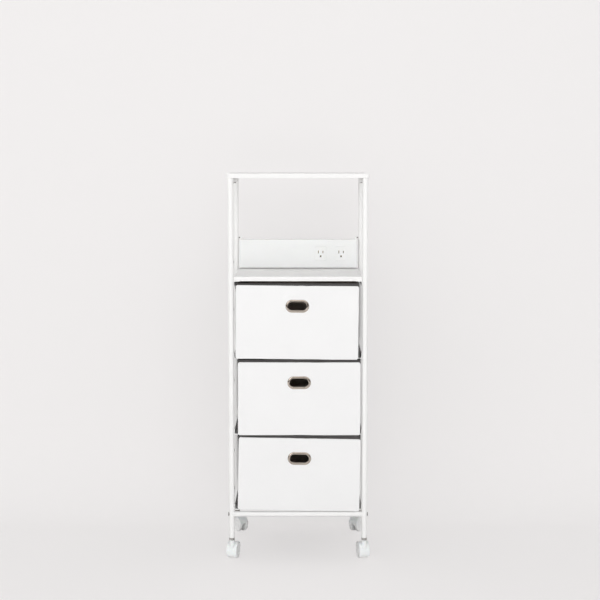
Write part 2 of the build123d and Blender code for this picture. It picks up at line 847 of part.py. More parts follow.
# Feet and casters
foot_insert_radius = post_radius - post_wall - insert_gap
finish(
    post_grid_rings(post_foot, foot_insert_length, foot_insert_radius, stem_radius + stem_clearance),
    "post_foot_inserts",
)
finish(post_grid_rings(boss_top - stem_in_hood, stem_length, stem_radius), "caster_stems")
finish(caster_nuts(), "caster_nuts")
for end_name, end in ends.items():
    for side_name, side in sides.items():
        caster_name = f"{end_name}_{side_name}_caster"
        finish(caster_hood(side, end), f"{caster_name}_hood")
        finish(caster_axle(side, end), f"{caster_name}_axle")
        outward = -side * end
        finish(caster_wheel(side, end, outward), f"{caster_name}_outer_wheel")
        finish(caster_wheel(side, end, -outward), f"{caster_name}_inner_wheel")

# Drawers
for index in range(drawer_count):
    drawer_name = f"drawer_{index + 1}"
    finish(drawer_body(index), f"{drawer_name}_body")
    finish(drawer_front(index), f"{drawer_name}_front")
    finish(drawer_grommet(index), f"{drawer_name}_grommet")
    finish(drawer_washer(index), f"{drawer_name}_grommet_washer")
    finish(drawer_base_board(index), f"{drawer_name}_base_board")
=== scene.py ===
from math import cos, pi, radians, sin

import bpy
import numpy as np
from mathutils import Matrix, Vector


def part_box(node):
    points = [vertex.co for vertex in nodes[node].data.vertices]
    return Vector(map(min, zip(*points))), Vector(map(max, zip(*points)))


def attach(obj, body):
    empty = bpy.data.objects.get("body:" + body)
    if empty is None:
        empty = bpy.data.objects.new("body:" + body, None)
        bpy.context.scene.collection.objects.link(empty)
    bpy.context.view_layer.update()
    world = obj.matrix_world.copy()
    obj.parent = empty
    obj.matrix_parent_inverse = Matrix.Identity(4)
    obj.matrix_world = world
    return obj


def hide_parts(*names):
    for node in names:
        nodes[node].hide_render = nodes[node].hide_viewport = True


# Rolling drawer cart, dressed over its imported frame. Metres, +Z up, the front faces -Y.

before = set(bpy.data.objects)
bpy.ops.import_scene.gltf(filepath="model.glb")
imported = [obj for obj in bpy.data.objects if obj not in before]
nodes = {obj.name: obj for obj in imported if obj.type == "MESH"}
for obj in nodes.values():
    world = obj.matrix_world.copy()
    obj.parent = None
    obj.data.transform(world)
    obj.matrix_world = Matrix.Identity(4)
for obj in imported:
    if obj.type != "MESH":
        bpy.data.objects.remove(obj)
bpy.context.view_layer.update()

MM = 0.001
SIDES = {"left": -1, "right": 1}
ENDS = {"front": -1, "rear": 1}
DRAWERS = (1, 2, 3)


# Surfaces


def grid_quads(rows, columns, round_rows):
    """Row and column of each quad's first corner, row by row; the columns always run round."""
    i, j = np.meshgrid(np.arange(rows if round_rows else rows - 1), np.arange(columns), indexing="ij")
    return i.ravel(), j.ravel()


def outward(vertices, faces):
    """Six times the volume under the faces, a fan of triangles each: negative when they point inwards."""
    a, b, c = (vertices[faces[:, k]] for k in (0, 1, 2))
    total = np.einsum("ij,ij->i", a, np.cross(b, c)).sum()
    if faces.shape[1] == 4:
        d = vertices[faces[:, 3]]
        total += np.einsum("ij,ij->i", a, np.cross(c, d)).sum()
    return total


def skin(points, round_rows=False, uv=None, paint=None, keep=None):
    """Closed skin over a grid of points. Its columns run round; its rows run round too, or else both
    ends close in a pole, the mean of their ring. uv has one more column, and one more row where the
    rows run round. paint gives a material number for each row of quads, and keep drops quads."""
    rows, columns = points.shape[:2]
    vertices = points.reshape(-1, 3)
    i, j = grid_quads(rows, columns, round_rows)
    below, beside = (i + 1) % rows, (j + 1) % columns
    quads = np.stack(
        [i * columns + j, i * columns + beside, below * columns + beside, below * columns + j], 1
    )
    paints = np.zeros(len(quads), int) if paint is None else np.asarray(paint)[i]
    quad_uv = None if uv is None else np.stack([uv[i, j], uv[i, j + 1], uv[i + 1, j + 1], uv[i + 1, j]], 1)
    triangles, triangle_uv = np.zeros((0, 3), int), None if uv is None else np.zeros((0, 3, 2))
    if not round_rows:
        poles = np.stack([points[0].mean(0), points[-1].mean(0)])
        around = np.arange(columns)
        beside = (around + 1) % columns
        last = (rows - 1) * columns
        first_fan = np.stack([np.full(columns, len(vertices)), beside, around], 1)
        last_fan = np.stack([np.full(columns, len(vertices) + 1), last + around, last + beside], 1)
        vertices = np.concatenate([vertices, poles])
        triangles = np.concatenate([first_fan, last_fan])
        if uv is not None:
            middle = np.stack([uv[0].mean(0), uv[-1].mean(0)])
            fans = [
                np.stack([np.tile(middle[0], (columns, 1)), uv[0, 1:], uv[0, :-1]], 1),
                np.stack([np.tile(middle[1], (columns, 1)), uv[-1, :-1], uv[-1, 1:]], 1),
            ]
            triangle_uv = np.concatenate(fans)
    if keep is not None:
        quads, paints = quads[keep], paints[keep]
        quad_uv = None if quad_uv is None else quad_uv[keep]
    volume = outward(vertices, quads) + (outward(vertices, triangles) if len(triangles) else 0)
    if volume < 0:
        quads, triangles = quads[:, ::-1], triangles[:, ::-1]
        if uv is not None:
            quad_uv, triangle_uv = quad_uv[:, ::-1], triangle_uv[:, ::-1]
    ends = np.zeros(len(triangles), int)
    if paint is not None and len(triangles):
        ends[:columns], ends[columns:] = paint[0], paint[-1]
    return {
        "vertices": vertices,
        "faces": quads.tolist() + triangles.tolist(),
        "paints": np.concatenate([paints, ends]),
        "uv": None if uv is None else np.concatenate([quad_uv.reshape(-1, 2), triangle_uv.reshape(-1, 2)]),
    }


def make_piece(name, skins, finishes, body, replaces=(), crease=35):
    """One smooth mesh object from its skins, riding on a CAD body, creased where faces turn sharply."""
    vertices, faces, start = [], [], 0
    for part in skins:
        vertices.append(part["vertices"])
        faces += [[corner + start for corner in face] for face in part["faces"]]
        start += len(part["vertices"])
    mesh = bpy.data.meshes.new(name)
    mesh.from_pydata(np.concatenate(vertices).tolist(), [], faces)
    if all(part["uv"] is not None for part in skins):
        layer = mesh.uv_layers.new(name="cloth")
        layer.data.foreach_set("uv", np.concatenate([part["uv"] for part in skins]).ravel())
    for finish in finishes:
        mesh.materials.append(finish)
    paints = np.concatenate([part["paints"] for part in skins])
    mesh.polygons.foreach_set("material_index", paints.astype(np.int32))
    mesh.shade_smooth()
    mesh.set_sharp_from_angle(angle=radians(crease))
    mesh.update()
    made = bpy.data.objects.new(name, mesh)
    bpy.context.scene.collection.objects.link(made)
    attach(made, body)
    if replaces:
        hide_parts(*replaces)
    return made


def ease(x, start, end):
    """Smooth step from 0 at start to 1 at end."""
    t = np.clip((x - start) / (end - start), 0, 1)
    return t * t * (3 - 2 * t)


def around(count):
    """Equal angles once round a circle."""
    return np.linspace(0, 2 * pi, count, endpoint=False)


def swept(path, radii, sides, closed=False):
    """Round skin along a path: at each point a circle square to the path, of that point's radius."""
    path = np.asarray(path, float)
    if closed:
        along = np.roll(path, -1, 0) - np.roll(path, 1, 0)
    else:
        along = np.gradient(path, axis=0)
    along /= np.linalg.norm(along, axis=1, keepdims=True)
    spread = np.abs(along).sum(0)
    guide = np.eye(3)[int(np.argmin(spread))]
    across = np.cross(along, guide)
    across /= np.linalg.norm(across, axis=1, keepdims=True)
    over = np.cross(along, across)
    a = around(sides)[None, :, None]
    circle = across[:, None] * np.cos(a) + over[:, None] * np.sin(a)
    return skin(path[:, None] + np.asarray(radii).reshape(-1, 1, 1) * circle, round_rows=closed)


def turned(profile, centre, axis, sides):
    """Turned skin: each (radius, distance along the axis) of the profile carried round the axis."""
    profile = np.asarray(profile, float)
    axis = np.array(axis, float) / np.linalg.norm(axis)
    across = np.cross(axis, (0, 0, 1.0) if abs(axis[2]) < 0.9 else (1.0, 0, 0))
    across /= np.linalg.norm(across)
    over = np.cross(axis, across)
    a = around(sides)[None, :, None]
    circle = across * np.cos(a) + over * np.sin(a)
    ring = profile[:, 0, None, None] * circle
    return skin(np.asarray(centre) + ring + profile[:, 1, None, None] * axis)


def rounded_path(half_x, half_y, along_x, along_y, corner_steps):
    """Points of a rectangle and the outward direction at each, so that point + radius * direction runs
    round a rounded rectangle of that corner radius. The sides are sampled at shares from -1 to 1."""
    turn = np.linspace(0, pi / 2, corner_steps + 1)
    points, directions = [], []
    for quarter in range(4):
        start = -pi / 2 + quarter * pi / 2
        shares = (along_x, along_y, -along_x[::-1], -along_y[::-1])[quarter]
        side = np.array([cos(start), sin(start)])
        forward = np.array([-side[1], side[0]])
        reach = np.array([half_x, half_y])
        inner = shares[np.abs(shares) < 1]
        points.append(side * reach + inner[:, None] * forward * reach)
        directions.append(np.tile(side, (len(inner), 1)))
        corner = (side + forward) * reach
        points.append(np.tile(corner, (len(turn), 1)))
        directions.append(np.stack([np.cos(start + turn), np.sin(start + turn)], 1))
    return np.concatenate(points), np.concatenate(directions)


def slab(low, high, corner, edge):
    """Flat board: the same rounded outline carried over its top edge, down and under, with both
    edges turned in quarter circles."""
    middle, half = (low + high) / 2, (high - low) / 2
    share = np.linspace(-1, 1, 13)
    points, directions = rounded_path(half[0] - corner, half[1] - corner, share, share, 10)
    bend = np.linspace(0, pi / 2, 5)
    inset = np.concatenate([edge * (1 - np.sin(bend)), edge * (1 - np.cos(bend))])
    height = np.concatenate([half[2] - edge * (1 - np.cos(bend)), edge * (1 - np.sin(bend)) - half[2]])
    ring = points[None] + (corner - inset)[:, None, None] * directions[None]
    level = np.broadcast_to(height[:, None, None], ring.shape[:2] + (1,))
    return skin(np.concatenate([ring, level], 2) + middle)


# Finishes


def node(tree, kind, inputs=None, **settings):
    """Adds a shader node; an input given as a socket is linked, and any other value is set on it."""
    made = tree.nodes.new(kind)
    for key, value in settings.items():
        setattr(made, key, value)
    for key, value in (inputs or {}).items():
        if isinstance(value, bpy.types.NodeSocket):
            tree.links.new(value, made.inputs[key])
        else:
            made.inputs[key].default_value = value
    return made


def new_finish(name, metallic=0.0, **sockets):
    """Principled material with its plain values set on the shader's own sockets."""
    material = bpy.data.materials.new(name)
    material.use_nodes = True
    tree = material.node_tree
    shader = tree.nodes["Principled BSDF"]
    shader.inputs["Metallic"].default_value = metallic
    for key, value in sockets.items():
        shader.inputs[key.replace("_", " ")].default_value = value
    return material, tree, shader


def place(tree, stretch=(1, 1, 1), uv=False):
    """Object coordinates, or the cloth's own, stretched along each axis."""
    source = node(tree, "ShaderNodeTexCoord").outputs["UV" if uv else "Object"]
    return node(tree, "ShaderNodeMapping", {"Vector": source, "Scale": stretch}).outputs[0]


def noise(tree, where, per_metre, detail=2.0, rough=0.5):
    """Soft noise with features of one over per_metre."""
    inputs = {"Vector": where, "Scale": per_metre, "Detail": detail, "Roughness": rough}
    return node(tree, "ShaderNodeTexNoise", inputs).outputs[0]


def remap(tree, value, low, high, to_low, to_high):
    """Straight map from one range to another, held at its ends."""
    inputs = {"Value": value, "From Min": low, "From Max": high, "To Min": to_low, "To Max": to_high}
    return node(tree, "ShaderNodeMapRange", inputs).outputs[0]


def from_noise(tree, value, to_low, to_high):
    """Map of a noise value to another range; nearly all of the noise lies between 0.3 and 0.7."""
    return remap(tree, value, 0.3, 0.7, to_low, to_high)


def blend_colours(tree, factor, first, second):
    """Colour between two others."""
    made = node(tree, "ShaderNodeMix", data_type="RGBA")
    for index, value in ((0, factor), (6, first), (7, second)):
        if isinstance(value, bpy.types.NodeSocket):
            tree.links.new(value, made.inputs[index])
        elif index:
            made.inputs[index].default_value = (*value, 1)
        else:
            made.inputs[index].default_value = value
    return made.outputs[2]


def calculate(tree, operation, first, second=0.0):
    """One step of arithmetic on two values."""
    made = node(tree, "ShaderNodeMath", operation=operation)
    for index, value in enumerate((first, second)):
        if isinstance(value, bpy.types.NodeSocket):
            tree.links.new(value, made.inputs[index])
        else:
            made.inputs[index].default_value = value
    return made.outputs[0]


def raise_surface(tree, shader, height, depth, strength=1.0):
    """Bump of a height map, the depth in metres, on top of any bump already there."""
    inputs = {"Height": height, "Distance": depth, "Strength": strength}
    taken = shader.inputs["Normal"]
    if taken.is_linked:
        inputs["Normal"] = taken.links[0].from_socket
    tree.links.new(node(tree, "ShaderNodeBump", inputs).outputs[0], taken)


def coated(name, light, dark, gloss, peel, peel_depth, drift=5.0, **sockets):
    """Painted or moulded skin: a faint drift between two tones, roughness that wanders between the
    two gloss values, and a fine grain."""
    material, tree, shader = new_finish(name, **sockets)
    where = place(tree)
    soft = noise(tree, where, drift, 3.0)
    tree.links.new(blend_colours(tree, from_noise(tree, soft, 0.0, 1.0), light, dark), shader.inputs["Base Color"])
    handled = noise(tree, where, drift * 7, 4.0, 0.6)
    tree.links.new(from_noise(tree, handled, *gloss), shader.inputs["Roughness"])
    raise_surface(tree, shader, noise(tree, where, peel, 3.0), peel_depth)
    return material


def brushed(name, light, dark, gloss, stretch, scratches=900.0, depth=2e-5, **sockets):
    """Metal with fine scratches along one axis and a cloudy tarnish."""
    material, tree, shader = new_finish(name, metallic=1.0, **sockets)
    tarnish = noise(tree, place(tree), 60.0, 4.0, 0.6)
    lines = noise(tree, place(tree, stretch), scratches, 3.0, 0.7)
    tree.links.new(
        blend_colours(tree, remap(tree, tarnish, 0.35, 0.7, 0.0, 1.0), light, dark),
        shader.inputs["Base Color"],
    )
    tree.links.new(from_noise(tree, lines, *gloss), shader.inputs["Roughness"])
    raise_surface(tree, shader, lines, depth)
    return material


# Distance between the ridges of a wave texture at scale 1

WAVE_PERIOD = 2 * pi / 20


def thread_waves(tree, where, pitch, direction):
    """Rounded ridges of one thread direction, one ridge for each pitch."""
    inputs = {"Vector": where, "Scale": WAVE_PERIOD / pitch, "Distortion": 0.35, "Detail Scale": 1.5}
    return node(tree, "ShaderNodeTexWave", inputs, wave_type="BANDS", bands_direction=direction).outputs[1]


def plain_weave(name, light, dark, pitch, axes, gloss, uv=False, depth=6e-5, **sockets):
    """Plain weave: two sets of thread ridges, of which the higher shows, with uneven threads and a
    slight nap, in the two directions given."""
    material, tree, shader = new_finish(name, **sockets)
    where = place(tree, uv=uv)
    over = thread_waves(tree, where, pitch, axes[0])
    under = thread_waves(tree, where, pitch, axes[1])
    threads = calculate(tree, "MAXIMUM", over, under)
    slubs = noise(tree, where, 0.2 / pitch, 4.0, 0.65)
    soft = noise(tree, where, 7.0, 3.0)
    worn = calculate(tree, "ADD", from_noise(tree, soft, 0.0, 0.6), from_noise(tree, slubs, 0.0, 0.4))
    tree.links.new(blend_colours(tree, worn, light, dark), shader.inputs["Base Color"])
    tree.links.new(remap(tree, slubs, 0.25, 0.75, *gloss), shader.inputs["Roughness"])
    raise_surface(tree, shader, threads, depth)
    raise_surface(tree, shader, noise(tree, where, 26.0, 2.0), 4e-4, 0.35)
    return material


def felted(name, light, dark, gloss, pitch=0.0022, **sockets):
    """Bonded fibre cloth on its own coordinates: stretched fibres, cloudy tone and a grid of small
    pressed dots, one for each pitch."""
    material, tree, shader = new_finish(name, **sockets)
    where = place(tree, uv=True)
    fibres = noise(tree, place(tree, (1.0, 0.22, 1.0), uv=True), 2600.0, 4.0, 0.7)
    crossing = noise(tree, place(tree, (0.22, 1.0, 1.0), uv=True), 2600.0, 4.0, 0.7)
    matted = calculate(tree, "MAXIMUM", fibres, crossing)
    clouds = noise(tree, where, 24.0, 5.0, 0.65)
    tone = calculate(tree, "ADD", remap(tree, matted, 0.35, 0.75, 0.0, 0.55), from_noise(tree, clouds, 0.0, 0.45))
    tree.links.new(blend_colours(tree, tone, dark, light), shader.inputs["Base Color"])
    tree.links.new(remap(tree, matted, 0.3, 0.75, *gloss), shader.inputs["Roughness"])
    rows = thread_waves(tree, where, pitch, "X")
    columns = thread_waves(tree, where, pitch, "Y")
    dots = calculate(tree, "MULTIPLY", rows, columns)
    raise_surface(tree, shader, matted, 8e-5)
    raise_surface(tree, shader, dots, -9e-5)
    return material


powder_coat = coated(
    "white_powder_coat", (0.935, 0.935, 0.927), (0.91, 0.91, 0.902), (0.30, 0.42), 1100.0, 3e-5,
    Coat_Weight=0.15, Coat_Roughness=0.25,
)
laminate = coated(
    "white_laminate", (0.915, 0.912, 0.905), (0.89, 0.887, 0.88), (0.28, 0.33), 2400.0, 5e-6, drift=9.0
)
panel_plastic = coated(
    "white_panel_plastic", (0.93, 0.925, 0.915), (0.905, 0.9, 0.89), (0.38, 0.5), 3200.0, 3e-5, drift=14.0,
    Subsurface_Weight=0.04,
)
caster_plastic = coated(
    "white_caster_plastic", (0.93, 0.94, 0.935), (0.9, 0.908, 0.902), (0.34, 0.46), 2600.0, 3e-5, drift=40.0,
    Subsurface_Weight=0.05,
)
wheel_plastic = coated(
    "white_wheel_plastic", (0.93, 0.935, 0.93), (0.89, 0.895, 0.89), (0.45, 0.62), 1800.0, 5e-5, drift=70.0
)
dark_steel = brushed("dark_steel", (0.36, 0.35, 0.34), (0.22, 0.21, 0.2), (0.32, 0.5), (1, 1, 6))
zinc_steel = brushed("zinc_steel", (0.72, 0.71, 0.69), (0.5, 0.49, 0.47), (0.28, 0.45), (1, 1, 6))
polished_steel = brushed(
    "polished_grommet", (0.64, 0.57, 0.5), (0.52, 0.46, 0.4), (0.05, 0.12), (1, 4, 4), 700.0, 4e-6
)
contact_brass = brushed("contact_brass", (0.5, 0.38, 0.2), (0.36, 0.27, 0.13), (0.25, 0.4), (5, 1, 1))
front_cloth = plain_weave(
    "white_front_cloth", (0.9, 0.9, 0.9), (0.872, 0.872, 0.872), 0.0007, "XZ", (0.78, 0.92), Sheen_Weight=0.08
)
body_cloth = felted("charcoal_cloth", (0.098, 0.092, 0.091), (0.05, 0.047, 0.047), (0.82, 0.96), Sheen_Weight=0.15)
lining_cloth = felted("taupe_lining", (0.7, 0.61, 0.54), (0.6, 0.52, 0.46), (0.82, 0.96), Sheen_Weight=0.08)
thread = coated("charcoal_thread", (0.2, 0.19, 0.19), (0.12, 0.115, 0.115), (0.6, 0.8), 5000.0, 3e-5, drift=400.0)
base_cover = plain_weave(
    "base_board_cloth", (0.62, 0.54, 0.48), (0.5, 0.43, 0.38), 0.0009, "XY", (0.8, 0.95), Sheen_Weight=0.1
)


# Posts, rails and tie bars

POST_SIDES = 48
TUBE_SIDES = 40
WELD_GAP = 0.05 * MM
left_box, right_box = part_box("front_left_post"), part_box("rear_right_post")
POST_RADIUS = (left_box[1][0] - left_box[0][0]) / 2
POST_X = (right_box[1][0] - left_box[0][0]) / 2 - POST_RADIUS
POST_Y = (right_box[1][1] - left_box[0][1]) / 2 - POST_RADIUS
POST_WALL = 1.2 * MM
RIM_ROUND = 0.35 * MM


def post_skin(side, end):
    """Upright tube: a closed profile, down the outside and up the inside with eased rims, carried
    round the post's axis."""
    low, high = left_box[0][2], left_box[1][2]
    inside = POST_RADIUS - POST_WALL
    profile = np.array(
        [
            (POST_RADIUS - RIM_ROUND, high),
            (POST_RADIUS, high - RIM_ROUND),
            (POST_RADIUS, low + RIM_ROUND),
            (POST_RADIUS - RIM_ROUND, low),
            (inside + RIM_ROUND, low),
            (inside, low + RIM_ROUND),
            (inside, high - RIM_ROUND),
            (inside + RIM_ROUND, high),
        ]
    )
    a = around(POST_SIDES)
    r, z = profile[:, :1], profile[:, 1:]
    x = side * POST_X + r * np.cos(a)
    y = end * POST_Y + r * np.sin(a)
    return skin(np.stack([x, y, np.broadcast_to(z, x.shape)], 2), round_rows=True)


def coped_tube(fixed, height, radius, wall, along_x):
    """Level tube between two posts. Each end follows the post's round wall: it stops short of the
    post's axis by the root of the post radius squared less the sideways distance squared."""
    a = around(TUBE_SIDES)
    inner = radius - wall
    radii = np.array([radius, radius, inner, inner])[:, None]
    ends = np.array([-1, 1, 1, -1])[:, None]
    sideways = radii * np.cos(a)
    short = np.sqrt((POST_RADIUS + WELD_GAP) ** 2 - sideways**2)
    reach = ends * ((POST_X if along_x else POST_Y) - short)
    z = height + radii * np.sin(a)
    planes = (reach, fixed + sideways, z) if along_x else (fixed + sideways, reach, z)
    return skin(np.stack(planes, 2), round_rows=True)


def tube_facts(name):
    """Middle height and radius of the first tube of a CAD node."""
    low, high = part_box(name)
    return (low[2] + high[2]) / 2, (high[2] - low[2]) / 2


for end_name, end in ENDS.items():
    for side_name, side in SIDES.items():
        post_name = f"{end_name}_{side_name}_post"
        make_piece(
            f"{post_name}_tube", [post_skin(side, end)], [powder_coat], "frame", [post_name]
        )

RAIL_WALL = 1.2 * MM
BAR_WALL = 1.0 * MM
BAR_RADIUS = 5 * MM
BAR_COUNT = 3
for end_name, end in ENDS.items():
    rail_z, rail_radius = tube_facts(f"{end_name}_bottom_rail")
    rail = coped_tube(end * POST_Y, rail_z, rail_radius, RAIL_WALL, True)
    make_piece(
        f"{end_name}_bottom_rail_tube", [rail], [powder_coat], "frame",
        [f"{end_name}_bottom_rail"],
    )
for side_name, side in SIDES.items():
    rail_z, rail_radius = tube_facts(f"{side_name}_top_rail")
    rail = coped_tube(side * POST_X, rail_z, rail_radius, RAIL_WALL, False)
    make_piece(
        f"{side_name}_top_rail_tube", [rail], [powder_coat], "frame",
        [f"{side_name}_top_rail"],
    )
bars_low, bars_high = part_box("rear_tie_bars")
bar_heights = np.linspace(bars_low[2] + BAR_RADIUS, bars_high[2] - BAR_RADIUS, BAR_COUNT)
bars = [coped_tube(POST_Y, height, BAR_RADIUS, BAR_WALL, True) for height in bar_heights]
make_piece("rear_tie_bar_tubes", bars, [powder_coat], "frame", ["rear_tie_bars"])

# Welds of the top rails and of the runners

BEAD_RADIUS = 1.1 * MM
BEAD_SIDES = 10
RAIL_BEAD_STEPS = 72
RAIL_RIPPLES = 24
RUNNER_BEAD_STEPS = 25
RUNNER_BEAD_SHARE = 0.8
BEAD_SUNK = 0.2 * MM
BEAD_END_ROOM = 2 * MM
SEAT_CLEARANCE = 0.3 * MM
RUNNER_THICKNESS = 1.5 * MM
RUNNER_LEG = 14 * MM


def rail_bead(side, end):
    """Weld round the end of a top rail: a thin rippled cord on the line where tube and post meet."""
    height, radius = tube_facts("left_top_rail")
    a = around(RAIL_BEAD_STEPS)
    sideways = radius * np.cos(a)
    short = np.sqrt((POST_RADIUS + WELD_GAP) ** 2 - sideways**2)
    path = np.stack([side * POST_X + sideways, end * (POST_Y - short), height + radius * np.sin(a)], 1)
    ripple = BEAD_RADIUS * (1 + 0.13 * np.sin(RAIL_RIPPLES * a))
    return swept(path, ripple, BEAD_SIDES, closed=True)


def runner_bead(side, end, low, high):
    """Short upright weld where the end of a runner lies against the side of a post: a rippled cord
    that tapers to both ends as a low power of the sine."""
    count = RUNNER_BEAD_STEPS
    z = np.linspace(low, high, count)
    swell = np.sin(np.linspace(0, pi, count)) ** 0.3
    ripple = 1 + 0.12 * np.sin(np.arange(count) * 1.9)
    radii = BEAD_RADIUS * RUNNER_BEAD_SHARE * np.maximum(swell, 0.25) * ripple
    x = np.full(count, side * (POST_X - POST_RADIUS - BEAD_SUNK))
    y = np.full(count, end * (POST_Y - BEAD_SUNK))
    return swept(np.stack([x, y, z], 1), radii, BEAD_SIDES)


middle_low, middle_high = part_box("middle_board")
beads = [rail_bead(side, end) for side in SIDES.values() for end in ENDS.values()]
upright_legs = [(middle_low[2] - RUNNER_LEG + BEAD_END_ROOM, middle_low[2] - BEAD_END_ROOM)]
for number in DRAWERS:
    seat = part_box(f"drawer_{number}_body")[0][2] - SEAT_CLEARANCE
    upright_legs.append((seat, seat - RUNNER_THICKNESS + RUNNER_LEG - BEAD_END_ROOM))
for side in SIDES.values():
    for end in ENDS.values():
        beads += [runner_bead(side, end, low, high) for low, high in upright_legs]
make_piece("frame_welds", beads, [powder_coat], "frame")

# Boards

TOP_CORNER = 6 * MM
MIDDLE_CORNER = 2 * MM
BOARD_EDGE = 0.8 * MM
top_low, top_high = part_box("top_board")
for name, corner, (low, high) in (
    ("top_board", TOP_CORNER, (top_low, top_high)),
    ("middle_board", MIDDLE_CORNER, (middle_low, middle_high)),
):
    board = slab(np.array(low), np.array(high), corner, BOARD_EDGE)
    make_piece(f"{name}_slab", [board], [laminate], "frame", [name])

# Caster wheels

CASTER_TRAIL = 16 * MM
WHEEL_RADIUS = 20 * MM
CASTER_TURN = {"front": radians(12), "rear": radians(35)}
WHEEL_SIDES = 96
WHEEL_PROFILE = MM * np.array(
    [
        (2.0, 6.0), (17.2, 6.0), (17.6, 6.4), (18.8, 6.4), (19.6, 6.75), (20.0, 7.5), (20.0, 12.4), (19.75, 13.2),
        (19.1, 13.8), (18.2, 14.0), (16.9, 14.0), (16.6, 13.75), (16.4, 13.3), (16.1, 13.3), (15.9, 13.7),
        (15.5, 13.85), (13.6, 13.75), (12.3, 13.3), (11.8, 13.1), (7.4, 13.1), (7.0, 13.2), (6.7, 13.6),
        (5.9, 13.85), (3.0, 13.95), (1.2, 14.0),
    ]
)


def caster_wheel(side, end_name, face):
    """Twin wheel: its tread, ring groove, dish and hub cap turned round the axle."""
    turn, end = CASTER_TURN[end_name], ENDS[end_name]
    trail = np.array([-side * sin(turn), -end * cos(turn), 0.0])
    stem = np.array([side * POST_X, end * POST_Y, WHEEL_RADIUS])
    axle = face * np.array([trail[1], -trail[0], 0.0])
    return turned(WHEEL_PROFILE, stem + CASTER_TRAIL * trail, axle, WHEEL_SIDES)


for end_name, end in ENDS.items():
    for side_name, side in SIDES.items():
        for place_name, face in (("outer", -side * end), ("inner", side * end)):
            name = f"{end_name}_{side_name}_caster_{place_name}_wheel"
            make_piece(
                f"{name}_tyre", [caster_wheel(side, end_name, face)], [wheel_plastic], name, [name]
            )

# Drawers

FRONT_TILT = {1: radians(0.55), 2: radians(0.08), 3: radians(1.0)}
GROMMET_RIM = 6.5 * MM
SLEEVE = 1.8 * MM
FRONT_CORNER = 5 * MM
FRONT_RAYS = 280
CORNER_RAYS = 25
CORNER_RAY_SPREAD = 0.06
FACE_RINGS = 26
FACE_SWELL = 0.25
EDGE_TAKEN_IN = 0.35 * MM
BACK_FOLD = 0.6 * MM
CLOTH_EDGE = 1.5 * MM
LIP_BASE = -1.2 * MM
LIP_WIDTH = 1.8 * MM
LIP_HEIGHT = 1.75 * MM
CROWN_START = 1.9 * MM
CROWN_BASE = -0.15 * MM
CROWN_WIDTH = 4.6 * MM
CROWN_HEIGHT = 2.8 * MM
RIM_SLEEVE = 1.5 * MM
BODY_CORNER = 7 * MM
BODY_WALL = 3 * MM
RUNNER_INNER_X = POST_X - POST_RADIUS - WELD_GAP - RUNNER_THICKNESS
BASE_CLIMB = MM * np.array([3.0, 6.0, 10.0, 14.0, 18.0, 23.0, 28.0, 34.0, 41.0, 49.0, 58.0])
WALL_CLIMB_START = 66 * MM
WALL_SHARES = np.linspace(-1, 1, 53)
BODY_CORNER_STEPS = 8
HOLE_STEP = 2.8 * MM
HOLE_ROOM_X = 42 * MM
HOLE_ROOM_Z = 22 * MM
HEM_HEIGHT = 15 * MM
HEM_RISE = 9.8 * MM
HEM_RAISE = 0.45 * MM
HEM_FOLD = 0.2 * MM
SIDE_BELLY = 1.6 * MM
BACK_BELLY = 1.4 * MM
SIDE_PULL = 2.3 * MM
BULGE_HEIGHT = 12 * MM
BULGE_SPREAD = 7 * MM
BULGE_MOST = 4.6 * MM
BULGE_ROOM = 1.3 * MM


def hole_facts(number):
    """Middle of the handle hole, half the length of its straight sides, and its end radius."""
    low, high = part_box(f"drawer_{number}_grommet")
    radius = (high[2] - low[2]) / 2 - GROMMET_RIM
    straight = (high[0] - low[0]) / 2 - GROMMET_RIM - radius
    return (low[0] + high[0]) / 2, (low[2] + high[2]) / 2, straight, radius


def tilt(number, points):
    """Turns points of a drawer's front about the middle of that front, the right side down."""
    low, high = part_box(f"drawer_{number}_front")
    x0, z0 = (low[0] + high[0]) / 2, (low[2] + high[2]) / 2
    c, s = cos(FRONT_TILT[number]), sin(FRONT_TILT[number])
    x, z = points[..., 0] - x0, points[..., 2] - z0
    return np.stack([x0 + c * x + s * z, points[..., 1], z0 + c * z - s * x], -1)


def stadium(angles, straight, radius):
    """Where rays from the middle of a stadium at these angles meet its outline."""
    c, s = np.cos(angles), np.sin(angles)
    flat = radius / np.maximum(np.abs(s), 1e-9)
    root = np.sqrt(np.maximum(radius**2 - (straight * s) ** 2, 0))
    bent = straight * np.abs(c) + root
    reach = np.where(np.abs(flat * c) <= straight, flat, bent)
    return np.stack([reach * c, reach * s], 1)


def rounded_box(angles, left, right, down, up, corner):
    """Where rays from a point inside a rounded rectangle meet its outline: the plain rectangle's
    crossing, or in a corner the crossing with that corner's circle."""
    c, s = np.cos(angles), np.sin(angles)
    side = np.where(c > 0, right, left)
    edge = np.where(s > 0, up, down)
    reach = np.minimum(side / np.maximum(np.abs(c), 1e-9), edge / np.maximum(np.abs(s), 1e-9))
    x, z = reach * np.abs(c), reach * np.abs(s)
    cx, cz = side - corner, edge - corner
    in_corner = (x > cx) & (z > cz)
    b = np.abs(c) * cx + np.abs(s) * cz
    root = np.sqrt(np.maximum(b**2 - (cx**2 + cz**2 - corner**2), 0))
    reach = np.where(in_corner, b + root, reach)
    return np.stack([reach * c, reach * s], 1)


